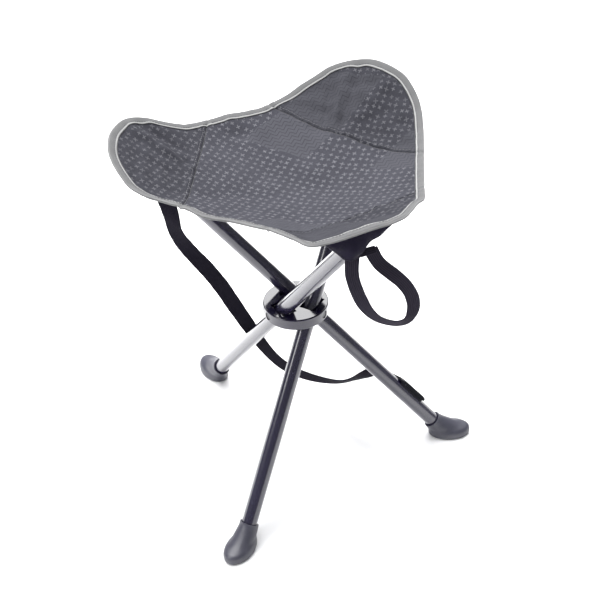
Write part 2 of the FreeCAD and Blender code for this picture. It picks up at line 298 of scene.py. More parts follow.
def nurbs_line(name, route):
    cu = bpy.data.curves.new(name, "CURVE")
    cu.dimensions = "3D"
    cu.resolution_u = 14
    sp = cu.splines.new("NURBS")
    sp.points.add(len(route) - 1)
    for p, q in zip(sp.points, route):
        p.co = (*metres(q), 1.0)
    sp.order_u = 3
    sp.use_endpoint_u = True
    ob = bpy.data.objects.new(name, cu)
    scene.collection.objects.link(ob)
    bpy.context.view_layer.update()
    me = bpy.data.meshes.new_from_object(ob)
    pts = np.array([v.co for v in me.vertices], float)
    bpy.data.objects.remove(ob)
    bpy.data.curves.remove(cu)
    bpy.data.meshes.remove(me)
    keep = np.concatenate([[True], np.linalg.norm(np.diff(pts, axis=0), axis=1) > 1e-7])
    return pts[keep]


def tape(name, route, turn, width, thick):
    """woven flat tape on its smooth line, with rounded selvedges"""
    path = nurbs_line(name + "_line", route)
    P = path * 1000.0 - HUB
    s = np.concatenate([[0], np.cumsum(np.linalg.norm(np.diff(P, axis=0), axis=1))])
    at = [s[np.argmin(np.linalg.norm(P - np.array(q), axis=1))] for q in route]
    at[0], at[-1] = 0.0, s[-1]
    phi = np.radians(np.interp(s, at, turn))
    ker = np.exp(-0.5 * (np.arange(-20, 21) / 8.0) ** 2)
    ker /= ker.sum()
    phi = np.convolve(np.pad(phi, 20, mode="edge"), ker, mode="valid")
    T = np.gradient(P, s, axis=0)
    T /= np.linalg.norm(T, axis=1, keepdims=True)
    w, h = width / 2, thick / 2
    prof = [(-w, 0), (-w + .12, -h * .62), (-w + .5, -h * 1.05), (-w + 1.5, -h), (-w * .5, -h * .94), (0, -h * .9),
            (w * .5, -h * .94), (w - 1.5, -h), (w - .5, -h * 1.05), (w - .12, -h * .62), (w, 0),
            (w - .12, h * .62), (w - .5, h * 1.05), (w - 1.5, h), (w * .5, h * .94), (0, h * .9),
            (-w * .5, h * .94), (-w + 1.5, h), (-w + .5, h * 1.05), (-w + .12, h * .62)]
    rings, uvs = [], []
    for i in range(len(P)):
        e1 = unit(np.cross(T[i], unit(P[i] - cam_pos)))
        e2 = unit(np.cross(T[i], e1))
        a = math.cos(phi[i]) * e1 + math.sin(phi[i]) * e2
        b = np.cross(T[i], a)
        wob = 1.0 + 0.012 * math.sin(s[i] / 7.0) + 0.008 * math.sin(s[i] / 2.9 + 1.0)
        rings.append([P[i] + a * (x * wob) + b * y for x, y in prof])
        uvs.append([(s[i] / 1000.0, x / 1000.0) for x, y in prof])
    ob = sweep(name, rings, uvs)
    return ob, path, s[-1] / 1000.0


STRAP_RING = 20             # points round the tape
carry_strap, strap_path, strap_len = tape("carry_strap_webbing", STRAP_ROUTE, STRAP_TURN, 20.0, 1.5)
closing_loop, loop_path, loop_len = tape("closing_loop_webbing", LOOP_ROUTE, LOOP_TURN, 15.0, 1.3)

loop_tab, _, _ = tape("closing_loop_tab", TAB_ROUTE, [0, 0, 0, 0], 8.5, 1.4)

# ---------------------------------------------------------------- seat surface
EDGE_R = np.array([
    147.8, 149.8, 153.0, 157.2, 162.9, 169.7, 177.7, 185.0, 190.5, 195.1, 196.2, 197.2, 198.6, 198.0, 196.5, 191.6,
    176.4, 165.9, 153.8, 148.3, 144.5, 141.0, 141.3, 142.6, 146.4, 146.3, 147.0, 148.6, 151.0, 154.3, 165.4, 180.6,
    190.8, 195.8, 198.3, 200.2, 200.0, 198.8, 195.3, 190.3, 184.8, 174.1, 159.9, 150.2, 144.0, 141.4, 137.7, 133.4,
    130.8, 130.8, 133.1, 137.4, 142.7, 152.4, 166.2, 184.4, 188.6, 191.4, 194.2, 196.0, 197.5, 195.7, 187.8, 180.4,
    174.9, 169.0, 161.9, 156.1, 152.1, 149.2, 147.6, 147.2])
EDGE_Z = np.array([
    445.2, 445.1, 445.6, 446.6, 448.3, 451.5, 456.9, 464.0, 471.4, 478.1, 482.2, 483.6, 482.5, 479.2, 473.6, 467.0,
    460.5, 454.6, 449.7, 445.3, 442.0, 440.3, 439.7, 439.4, 439.4, 439.9, 440.8, 442.4, 444.8, 448.9, 455.7, 465.5,
    473.7, 478.6, 480.9, 481.8, 481.3, 478.7, 474.0, 468.6, 463.1, 458.4, 454.7, 452.5, 451.0, 449.8, 448.9, 448.6,
    449.0, 449.8, 451.2, 453.2, 455.5, 458.0, 460.8, 464.1, 468.1, 472.5, 476.8, 479.1, 479.8, 479.2, 476.4, 472.1,
    466.6, 461.1, 456.6, 453.0, 450.1, 447.8, 446.3, 445.6])
CENTRE_Z, POWER = 415.0, 1.9
SEAM_R = {"left": 108.0, "front": 117.0, "rear": 100.0}
CORNER_AZ = {"rear": 54.0, "left": 174.0, "front": 292.0}
SECTOR = {"rear": (-7.0, 114.0), "left": (114.0, 233.0), "front": (233.0, 353.0)}
BIND_W = 8.4


def periodic(table, deg):
    n = len(table)
    x = (np.asarray(deg, float) % 360.0) / (360.0 / n)
    i = np.floor(x).astype(int) % n
    f = x - np.floor(x)
    a, b, c, d = table[(i - 1) % n], table[i], table[(i + 1) % n], table[(i + 2) % n]
    return b + 0.5 * f * (c - a + f * (2 * a - 5 * b + 4 * c - d + f * (3 * (b - c) + d - a)))


def base_z(x, y):
    th = np.degrees(np.arctan2(y, x))
    return CENTRE_Z + (periodic(EDGE_Z, th) - CENTRE_Z) * (np.hypot(x, y) / periodic(EDGE_R, th)) ** POWER


rng = np.random.default_rng(11)
WAVES = [(rng.uniform(0, 2 * math.pi), 2 * math.pi / rng.uniform(34, 95), rng.uniform(0, 2 * math.pi),
          rng.uniform(0.10, 0.26)) for _ in range(22)]


CRINKLE = [(rng.uniform(0, 2 * math.pi), 2 * math.pi / rng.uniform(15, 36), rng.uniform(0, 2 * math.pi),
            rng.uniform(0.08, 0.24)) for _ in range(18)]


def gauss(v, s):
    return np.exp(-(v / s) ** 2)


def detail(x, y):
    """cloth relief on the seat: seams, tension folds at the corners, soft waves"""
    th = np.degrees(np.arctan2(y, x)) % 360.0
    r = np.hypot(x, y)
    R = periodic(EDGE_R, th)
    t = r / R
    dz = np.zeros_like(x)
    for a, k, ph, amp in WAVES:
        dz = dz + amp * np.sin(k * (x * math.cos(a) + y * math.sin(a)) + ph)
    dz = dz * np.clip(1.25 - t, 0.25, 1.0)
    corner = np.zeros_like(x)
    for az in CORNER_AZ.values():
        corner = np.maximum(corner, x * math.cos(math.radians(az)) + y * math.sin(math.radians(az)))
    crisp = np.clip((corner - 70) / 50, 0.25, 1.2) * np.clip((1.0 - t) / 0.10, 0, 1)
    for a, k, ph, amp in CRINKLE:
        dz = dz + crisp * amp * np.sin(k * (x * math.cos(a) + y * math.sin(a)) + ph)
    # the front corner rolls over just inside its binding
    u = np.clip((t - 0.7) / 0.3, 0, 1)
    win = np.where(np.abs(th - 293) < 28, 0.5 + 0.5 * np.cos(math.pi * (th - 293) / 28), 0)
    dz = dz + 6.0 * win * 6.75 * u * u * (1 - u)
    for k, az in CORNER_AZ.items():
        c, s = math.cos(math.radians(az)), math.sin(math.radians(az))
        p, l = x * c + y * s, -x * s + y * c
        d = p - SEAM_R[k]
        dz = dz - 1.5 * gauss(d, 0.9) + 0.55 * gauss(d - 4.6, 2.6) + 0.25 * gauss(d + 4.0, 3.0)
        pk = np.sin(2 * math.pi * l / 8.7 + 1.4 * np.sin(l / 12.0))
        dz = dz + 0.34 * pk * np.exp(-np.abs(d) / 6.0) * (1 - gauss(d, 1.0))
        on = 1 / (1 + np.exp(-(p - SEAM_R[k] - 8) / 7.0)) * np.clip((1.0 - t) / 0.16, 0, 1)
        if k == "left":
            dz = dz - 4.2 * np.exp(-((p - 121) / 8.0) ** 2 - ((l + 6) / 11.0) ** 2)
            dz = dz + on * (4.8 * gauss(l + 11 + 0.326 * (p - 142), 6.5) - 5.0 * gauss(l + 31 + 0.27 * (p - 127), 8.0)
                            - 2.0 * gauss(l - 20 - 0.1 * (p - 140), 9.0))
        elif k == "rear":
            dz = dz + on * (2.2 * gauss(l + 9 + 0.15 * (p - 140), 8.0) - 4.6 * gauss(l - 10 - 0.33 * (p - 125), 7.0)
                            - 3.6 * gauss(l - 36 - 0.45 * (p - 125), 6.0) + 2.2 * gauss(l - 24 - 0.4 * (p - 125), 5.0)
                            - 1.3 * gauss(l + 30 + 0.2 * (p - 140), 10.0))
        else:
            dz = dz + on * (1.2 * gauss(l + 4, 10.0) - 1.0 * gauss(l - 24, 9.0) - 1.0 * gauss(l + 30, 10.0))
    # slack dip inside the back edge, and a small crease beside the right end of the front corner
    dz = dz - 4.6 * np.exp(-((x + 62) / 15.0) ** 2 - ((y - 96) / 12.0) ** 2)
    dz = dz + 2.2 * np.exp(-((x + 36) / 14.0) ** 2 - ((y - 104) / 13.0) ** 2)
    dz = dz - 2.2 * gauss(th - 325.0, 4.0) * np.clip((t - 0.8) / 0.2, 0, 1.2)
    dz = dz + 1.2 * gauss(th - 316.0, 4.5) * np.clip((t - 0.8) / 0.2, 0, 1.2)
    return dz


def top_z(x, y):
    return base_z(x, y) + detail(x, y) - 0.2


def top_normal(x, y):
    h = 0.35
    zx = (top_z(x + h, y) - top_z(x - h, y)) / (2 * h)
    zy = (top_z(x, y + h) - top_z(x, y - h)) / (2 * h)
    n = np.stack([-zx, -zy, np.ones_like(zx)], -1)
    return n / np.linalg.norm(n, axis=-1, keepdims=True)


def cloth_uv(x, y):
    """flat pattern of the dished cloth, in metres"""
    th = np.degrees(np.arctan2(y, x))
    r = np.maximum(np.hypot(x, y), 1e-6)
    R = periodic(EDGE_R, th)
    c = (periodic(EDGE_Z, th) - CENTRE_Z) * POWER / R
    s = r + 0.5 * c * c * R / 2.8 * (r / R) ** 2.8
    return np.stack([x / r * s, y / r * s], -1) / 1000.0


def seam_radius(k, th):
    c = np.cos(np.radians(th - CORNER_AZ[k]))
    return np.where(c > 0.2, SEAM_R[k] / np.maximum(c, 0.2), 1e3)


def cloth_radius(th):
    return periodic(EDGE_R, th) - 1.8


def seam_ends(k):
    """azimuths at which the seam runs out under the binding"""
    az = CORNER_AZ[k]
    out = []
    for sign in (-1, 1):
        lo, hi = 0.0, 62.0
        for _ in range(50):
            mid = 0.5 * (lo + hi)
            if seam_radius(k, np.array(az + sign * mid)) < cloth_radius(np.array(az + sign * mid)):
                lo = mid
            else:
                hi = mid
        out.append(az + sign * lo)
    return out


def columns(t0, t1, snap, step=0.8):
    n = max(4, int(round((t1 - t0) / step)))
    a = np.linspace(t0, t1, n + 1)
    for e in snap:
        if t0 + step < e < t1 - step:
            a[1 + np.argmin(np.abs(a[1:-1] - e))] = e
    return a


def cloth_panel(name, th, radii, thick=1.3):
    """cloth between given radii; radii has one row per ring, from inside out"""
    rows, cols = radii.shape
    a = np.radians(th)[None, :]
    x, y = radii * np.cos(a), radii * np.sin(a)
    x, y = x.ravel(), y.ravel()
    P = np.stack([x, y, top_z(x, y)], 1)
    N = top_normal(x, y)
    U = cloth_uv(x, y)
    F = []
    for j in range(rows - 1):
        for i in range(cols - 1):
            q = j * cols + i
            F.append([q, q + cols, q + cols + 1, q + 1])
    P, F, (N, U) = weld(P, F, [N, U])
    used = sorted({i for f in F for i in f})
    new = {o: i for i, o in enumerate(used)}
    F = [[new[i] for i in f] for f in F]
    ob = shell(name, P[used], N[used], F, U[used], thick)
    return ob, used


# profile of the edge tape: distance in from the edge, height off the cloth
TAPE_PROFILE = [(BIND_W, -0.35), (BIND_W + .1, 0.35), (BIND_W - .25, 0.75), (BIND_W - 1.2, 0.92), (6.1, 0.66), (5.0, 0.92),
                (3.6, 1.02), (2.0, 1.08), (0.9, 1.02), (0.1, 0.62), (-0.45, -0.1), (-0.62, -0.75), (-0.45, -1.45),
                (0.1, -2.1), (0.9, -2.45), (2.2, -2.5), (4.0, -2.42), (6.1, -2.2), (BIND_W - 1.2, -2.36),
                (BIND_W - .2, -2.2), (BIND_W + .1, -1.8), (BIND_W, -1.2)]


def edge_frame(th):
    """edge points and outward plan normals at azimuths th"""
    h = 0.05

    def pt(a):
        R = periodic(EDGE_R, a)
        q = np.radians(a)
        return np.stack([R * np.cos(q), R * np.sin(q)], -1)
    t = pt(th + h) - pt(th - h)
    t /= np.linalg.norm(t, axis=-1, keepdims=True)
    return pt(th), np.stack([t[:, 1], -t[:, 0]], -1)


def on_edge(th, d, hgt):
    E, n = edge_frame(th)
    q = E - n * np.asarray(d).reshape(-1, 1)
    N = top_normal(q[:, 0], q[:, 1])
    P = np.stack([q[:, 0], q[:, 1], top_z(q[:, 0], q[:, 1])], 1)
    return P + N * np.asarray(hgt).reshape(-1, 1), N


def edge_tape(name, t0, t1):
    th = np.linspace(t0, t1, max(6, int((t1 - t0) / 0.8)) + 1)
    E, n = edge_frame(th)
    s = np.concatenate([[0], np.cumsum(np.linalg.norm(np.diff(E, axis=0), axis=1))]) + t0 * 3.0
    wav = 0.10 * np.sin(np.radians(th) * 31 + 0.6) + 0.08 * np.sin(np.radians(th) * 53)
    lift = 0.10 * np.sin(np.radians(th) * 77) + 0.10 * np.sin(np.radians(th) * 44 + 1.0)
    rings = np.zeros((len(th), len(TAPE_PROFILE), 3))
    uvs = np.zeros((len(th), len(TAPE_PROFILE), 2))
    across = 0.0
    for i, (d, h) in enumerate(TAPE_PROFILE):
        if i:
            across += math.hypot(d - TAPE_PROFILE[i - 1][0], h - TAPE_PROFILE[i - 1][1])
        dd = d + (wav if d > 7.0 else 0.0 * wav)
        P, _ = on_edge(th, dd, h + (lift if h > 0.5 else 0 * lift))
        rings[:, i] = P
        uvs[:, i, 0] = s / 1000.0
        uvs[:, i, 1] = across / 1000.0
    return sweep(name, rings, uvs)


FINE = np.array([0, .3, .6, .95, 1.4, 2.0, 2.9, 4.2, 6.0, 8.5])
seat_cloth, seat_tape, seat_thread = [], [], []
PIECES = []                 # (object, material name, slot)


def follow_corner(ob):
    """bakes the piece's placement into its mesh"""
    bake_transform(ob)


def flat_size(ob):
    """width, length and area of a cloth piece laid flat, from its pattern"""
    me = ob.data
    uv = np.zeros(len(me.loops) * 2, np.float32)
    me.uv_layers["cloth"].data.foreach_get("uv", uv)
    uv = uv.reshape(-1, 2).astype(float)
    area = 0.0
    for p in me.polygons:
        q = uv[p.loop_start:p.loop_start + p.loop_total]
        area += 0.5 * abs(np.dot(q[:, 0], np.roll(q[:, 1], -1)) - np.dot(q[:, 1], np.roll(q[:, 0], -1)))
    area *= 0.5             # upper and lower face carry the same pattern
    c = uv - uv.mean(0)
    best = None
    for a in np.radians(np.arange(0, 90, 3)):
        e = np.array([math.cos(a), math.sin(a)])
        f = np.array([-math.sin(a), math.cos(a)])
        w, l = np.ptp(c @ e), np.ptp(c @ f)
        if best is None or w * l < best[0] * best[1]:
            best = (w, l)
    return best[0], best[1], area


for k, az in CORNER_AZ.items():
    e0, e1 = seam_ends(k)
    for side in ("a", "b"):
        t0, t1 = (SECTOR[k][0], az) if side == "a" else (az, SECTOR[k][1])
        tag = "%s_%s" % (k, side)
        # middle panel
        th = columns(t0, t1, [e0, e1])
        end = np.minimum(seam_radius(k, th), cloth_radius(th))
        inner = (end - FINE[-1])[None, :] * np.linspace(0, 1, 36)[:, None]
        outer = end[None, :] - FINE[::-1][1:, None]
        mid_panel, _ = cloth_panel("seat_middle_" + tag, th, np.vstack([inner, outer]))
        # corner panel, outside the seam
        s0, s1 = (e0, az) if side == "a" else (az, e1)
        thc = columns(s0, s1, [])
        a, b = seam_radius(k, thc), cloth_radius(thc)
        f = np.concatenate([[0, .004, .008, .013, .02, .03, .044, .064, .09], np.linspace(.125, 1, 28)])
        corner_panel, _ = cloth_panel("seat_corner_" + tag, thc, a[None, :] + np.maximum(b - a, 0)[None, :] * f[:, None])
        # edge tape and sewing
        band = edge_tape("seat_edge_tape_" + tag, t0, t1)
        tt = np.linspace(t0, t1, 160)
        up = on_edge(tt, 6.1 + 0 * tt, 0.70 + 0 * tt)
        dn_p, dn_n = on_edge(tt, 6.1 + 0 * tt, -2.22 + 0 * tt)
        sew = stitch_object("seat_edge_stitching_" + tag, [up, (dn_p, -dn_n)])
        # painted shade: a black cord just inside the tape's inner edge, standing in for the shadow line the tape casts
        # on the cloth
        tape_edge_shade_cord = shadow_cord("seat_edge_shadow_cord_" + tag, *on_edge(tt, BIND_W + 0.45 + 0 * tt, 0.22 + 0 * tt), 0.62)
        az_r = math.radians(az)
        er = np.array([math.cos(az_r), math.sin(az_r)])
        et = np.array([-math.sin(az_r), math.cos(az_r)])
        rows = []
        for off in (0.0, 3.1):
            l = np.linspace(-140, 0, 400) if side == "a" else np.linspace(0, 140, 400)
            xy = er[None, :] * (SEAM_R[k] + off) + et[None, :] * l[:, None]
            ok = np.hypot(xy[:, 0], xy[:, 1]) < periodic(EDGE_R, np.degrees(np.arctan2(xy[:, 1], xy[:, 0]))) - 7.2
            xy = xy[ok]
            rows.append((np.stack([xy[:, 0], xy[:, 1], top_z(xy[:, 0], xy[:, 1]) + 0.05], 1), top_normal(xy[:, 0], xy[:, 1])))
        # painted shade: a black cord laid in the seam, standing in for the seam's shadow line
        seam_line = shadow_cord("seat_seam_line_" + tag, rows[0][0] + rows[0][1] * 0.1, rows[0][1], 0.36)
        seam_sew = stitch_object("seat_seam_stitching_" + tag, rows[1:], length=3.0, gap=1.0, radius=0.24, rise=0.2)
        for ob in (mid_panel, corner_panel, band, sew, seam_sew, tape_edge_shade_cord, seam_line):
            follow_corner(ob)
        seat_cloth.append((mid_panel, corner_panel, band, sew, seam_sew, tape_edge_shade_cord, seam_line, k))
        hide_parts("seat_panel")
        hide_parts(k + "_corner_panel")
        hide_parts("seat_binding")

# ---------------------------------------------------------------- corner pockets for the leg tops
POCKET_SPAN = {"left": (-12.5, 12.0), "front": (-13.5, 10.5), "rear": (-12.0, 12.0)}
HEM = {"left": 220.5, "front": 227.0, "rear": 227.0}      # lowest point of the hem, along the leg


def under_edge(k, th):
    """where the pocket is sewn, on the underside just inside the edge"""
    P, N = on_edge(th, 7.0 + 0 * th, -2.6 + 0 * th)
    return P, N


def pocket(k):
    P0, v, n, w = leg_frame(k)
    cols, rows = 61, 40
    lo, hi = POCKET_SPAN[k]
    a = np.linspace(0, 1, cols)
    th = CORNER_AZ[k] + lo + (hi - lo) * a
    T, _ = under_edge(k, th)
    # hem: from the edge, down beside the tube, under it and up to the edge again
    side = 1.0 if np.dot(T[0] - T[-1], n) > 0 else -1.0
    key = [T[0],
           P0 + v * (HEM[k] + 9) + n * side * 18 - w * 1.0,
           P0 + v * (HEM[k] + 1.5) + n * side * 8.6 - w * 9.4,
           P0 + v * HEM[k] - w * 11.9,
           P0 + v * (HEM[k] + 1.5) - n * side * 8.6 - w * 9.4,
           P0 + v * (HEM[k] + 9) - n * side * 18 - w * 1.0,
           T[-1]]
    key = np.array(key)
    ks = np.concatenate([[0], np.cumsum(np.linalg.norm(np.diff(key, axis=0), axis=1))])
    ks /= ks[-1]
    # smooth line through the key points
    H = np.zeros((cols, 3))
    for i, q in enumerate(a):
        j = min(max(np.searchsorted(ks, q) - 1, 0), len(ks) - 2)
        f = (q - ks[j]) / (ks[j + 1] - ks[j])
        p0, p1, p2, p3 = key[max(j - 1, 0)], key[j], key[j + 1], key[min(j + 2, len(key) - 1)]
        H[i] = p1 + 0.5 * f * (p2 - p0 + f * (2 * p0 - 5 * p1 + 4 * p2 - p3 + f * (3 * (p1 - p2) + p3 - p0)))
    bow = (4 * a * (1 - a))[:, None]
    C = 0.5 * (T + H) - w * 17.0 * bow + v * 3.0 * bow
    b = np.linspace(0, 1, rows)
    G = np.zeros((rows, cols, 3))
    for j, q in enumerate(b):
        G[j] = (1 - q) ** 2 * T + 2 * q * (1 - q) * C + q * q * H
    # slack creases that fan from the tube, and a doubled hem
    da = np.gradient(G, axis=1)
    db = np.gradient(G, axis=0)
    N = np.cross(db, da)
    N /= np.linalg.norm(N, axis=-1, keepdims=True) + 1e-9
    N[:, 0], N[:, -1] = N[:, 1], N[:, -2]
    if np.mean(N @ (-w)) < 0:
        N = -N
    crease = 0.55 * np.sin(a * 2 * math.pi * 5.5 + 0.8)[None, :] * np.sin(b * math.pi)[:, None]
    crease = crease + 0.5 * np.sin(a * 2 * math.pi * 2.5 + 2.0)[None, :] * np.sin(b * math.pi)[:, None]
    hem = 0.55 / (1 + np.exp(-(b - 0.885) / 0.006))[:, None] * bow.T
    G = G + N * (crease * bow.T + hem)[..., None]
    da = np.gradient(G, axis=1)
    db = np.gradient(G, axis=0)
    N2 = np.cross(db, da)
    N2 /= np.linalg.norm(N2, axis=-1, keepdims=True) + 1e-9
    N2[:, 0], N2[:, -1] = N2[:, 1], N2[:, -2]
    if np.mean(N2 @ (-w)) < 0:
        N2 = -N2
    # flat pattern with the true area of the cloth
    wide = np.linalg.norm(np.diff(G, axis=1), axis=-1).sum(1).mean() / 1000.0
    long = np.linalg.norm(np.diff(G, axis=0), axis=-1).sum(0).mean() / 1000.0
    real = np.linalg.norm(np.cross(G[1:, 1:] - G[:-1, :-1], G[1:, :-1] - G[:-1, 1:]), axis=-1).sum() / 2e6
    fit = math.sqrt(real / (wide * long))
    S = np.stack(np.meshgrid(a * wide * fit, b * long * fit), -1)
    F = grid_faces(rows, cols)
    Pv, Nv, Uv = G.reshape(-1, 3), N2.reshape(-1, 3), S.reshape(-1, 2)
    agree = sum(np.dot(np.cross(Pv[q[2]] - Pv[q[0]], Pv[q[3]] - Pv[q[1]]), Nv[q[0]]) for q in F)
    if agree < 0:
        F = [list(reversed(f)) for f in F]
    Pv, F, (Nv, Uv) = weld(Pv, F, [Nv, Uv])
    used = sorted({i for f in F for i in f})
    new = {o: i for i, o in enumerate(used)}
    ob = shell(k + "_pocket_cloth", Pv[used], Nv[used], [[new[i] for i in f] for f in F], Uv[used], 0.9)
    j = int(0.90 * (rows - 1))
    i0, i1 = 5, cols - 5
    sew = stitch_object(k + "_pocket_stitching", [(G[j, i0:i1] + N2[j, i0:i1] * 0.05, N2[j, i0:i1])],
                        length=2.4, gap=0.8, radius=0.26, rise=0.22)
    return ob, sew


pockets = {}
for k in CORNER_AZ:
    ob, sew = pocket(k)
    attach(ob, k + "_leg")
    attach(sew, k + "_leg")
    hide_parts(k + "_pocket")
    pockets[k] = (ob, sew)

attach(carry_strap, "left_leg")
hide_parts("carry_strap")
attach(closing_loop, "front_leg")
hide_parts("closing_loop")
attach(loop_tab, "front_leg")


def strap_sewn_end():
    """end of the carry strap, sewn in under the pocket"""
    _, v, _, w = leg_frame("left")
    co = np.zeros(len(carry_strap.data.vertices) * 3)
    carry_strap.data.vertices.foreach_get("co", co)
    ring = co.reshape(-1, 3)[:STRAP_RING] * 1000.0 - HUB
    mid = ring.mean(0)
    rings, uvs = [], []
    for d in (-2.0, -0.4, 3.0, 7.0, 11.0, 15.0, 19.0, 23.0):
        grow = 1.04 - 0.006 * max(d, 0.0)
        rings.append(mid + (ring - mid) * grow + (v * 0.98 + w * 0.20) * d)
        uvs.append([(d / 1000.0, i * 0.0022) for i in range(STRAP_RING)])
    return sweep("carry_strap_sewn_end", rings, uvs)


sewn_end = strap_sewn_end()
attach(sewn_end, "left_leg")


def clip_saddle():
    """moulded saddle that fills the room between the flat clip and the round tube"""
    P0, v, _, _ = leg_frame("left")
    me = NODES["strap_clip"].data
    co = np.zeros(len(me.vertices) * 3)
    me.vertices.foreach_get("co", co)
    c = co.reshape(-1, 3).mean(0) * 1000.0 - HUB - P0
    w = unit(c - v * np.dot(c, v))
    n = np.cross(v, w)
    rings, uvs = [], []
    for s in np.concatenate([[-244.6, -244.2], np.linspace(-243.4, -203.4, 28), [-202.6, -202.2]]):
        ease = min(1.0, 0.5 + 0.25 * min(abs(s + 244.8), abs(s + 202.0)) / 0.3)
        half = 7.7 * (0.94 + 0.06 * ease)
        low = [(half * q, math.sqrt(9.64 ** 2 - (half * q) ** 2)) for q in np.linspace(-1, 1, 21)]
        top = [(half * q, 9.92) for q in np.linspace(1, -1, 9)]
        rings.append([P0 + v * s + n * a + w * b for a, b in low + top])
        uvs.append([(s / 1000.0, i * 0.0008) for i in range(len(low + top))])
    return sweep("strap_clip_saddle", rings, uvs)


saddle = clip_saddle()
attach(saddle, "left_leg")


# ---------------------------------------------------------------- materials
class Nodes:
    def __init__(self, name):
        self.mat = bpy.data.materials.new(name)
        self.mat.use_nodes = True
        self.t = self.mat.node_tree
        self.t.nodes.clear()
        out = self.t.nodes.new("ShaderNodeOutputMaterial")
        self.bsdf = self.t.nodes.new("ShaderNodeBsdfPrincipled")
        self.t.links.new(self.bsdf.outputs[0], out.inputs[0])

    def put(self, sock, value):
        if isinstance(value, bpy.types.NodeSocket):
            self.t.links.new(value, sock)
        elif value is not None:
            sock.default_value = value

    def set(self, **kw):
        for k, v in kw.items():
            self.put(self.bsdf.inputs[k.replace("_", " ")], v)

    def math(self, op, a, b=None, c=None, clamp=False):
        n = self.t.nodes.new("ShaderNodeMath")
        n.operation, n.use_clamp = op, clamp
        for i, q in enumerate((a, b, c)):
            self.put(n.inputs[i], q)
        return n.outputs[0]

    def vmath(self, op, a, b=None, scale=None):
        n = self.t.nodes.new("ShaderNodeVectorMath")
        n.operation = op
        self.put(n.inputs[0], a)
        if b is not None:
            self.put(n.inputs[1], b)
        if scale is not None:
            self.put(n.inputs["Scale"], scale)
        return n.outputs["Value"] if op in ("LENGTH", "DOT_PRODUCT", "DISTANCE") else n.outputs["Vector"]

    def uv(self):
        n = self.t.nodes.new("ShaderNodeUVMap")
        n.uv_map = "cloth"
        return n.outputs[0]

    def obj(self):
        return self.t.nodes.new("ShaderNodeTexCoord").outputs["Object"]

    def xyz(self, v):
        n = self.t.nodes.new("ShaderNodeSeparateXYZ")
        self.put(n.inputs[0], v)
        return n.outputs

    def mapping(self, v, rot=(0, 0, 0), scale=(1, 1, 1), loc=(0, 0, 0)):
        n = self.t.nodes.new("ShaderNodeMapping")
        self.put(n.inputs["Vector"], v)
        n.inputs["Rotation"].default_value = rot
        n.inputs["Scale"].default_value = scale
        n.inputs["Location"].default_value = loc
        return n.outputs[0]

    def noise(self, v, scale, detail=2.0, rough=0.5, dist=0.0):
        n = self.t.nodes.new("ShaderNodeTexNoise")
        self.put(n.inputs["Vector"], v)
        n.inputs["Scale"].default_value = scale
        n.inputs["Detail"].default_value = detail
        n.inputs["Roughness"].default_value = rough
        n.inputs["Distortion"].default_value = dist
        return n.outputs["Fac"] if "Fac" in n.outputs else n.outputs[0]

    def white(self, v):
        n = self.t.nodes.new("ShaderNodeTexWhiteNoise")
        n.noise_dimensions = "3D"
        self.put(n.inputs["Vector"], v)
        return n.outputs["Value"], n.outputs["Color"]

    def mapr(self, v, a, b, c=0.0, d=1.0, smooth=False):
        n = self.t.nodes.new("ShaderNodeMapRange")
        n.interpolation_type = "SMOOTHSTEP" if smooth else "LINEAR"
        n.clamp = True
        self.put(n.inputs[0], v)
        for i, q in enumerate((a, b, c, d)):
            n.inputs[i + 1].default_value = q
        return n.outputs[0]

    def mix(self, f, a, b):
        n = self.t.nodes.new("ShaderNodeMix")
        n.data_type = "RGBA"
        self.put(n.inputs[0], f)
        for sock, q in ((n.inputs[6], a), (n.inputs[7], b)):
            if isinstance(q, bpy.types.NodeSocket):
                self.put(sock, q)
            else:
                sock.default_value = (*q, 1.0)
        return n.outputs[2]

    def bump(self, h, strength, dist, normal=None):
        n = self.t.nodes.new("ShaderNodeBump")
        self.put(n.inputs["Height"], h)
        n.inputs["Strength"].default_value = strength
        n.inputs["Distance"].default_value = dist
        if normal is not None:
            self.put(n.inputs["Normal"], normal)
        return n.outputs[0]


TAU = 2 * math.pi


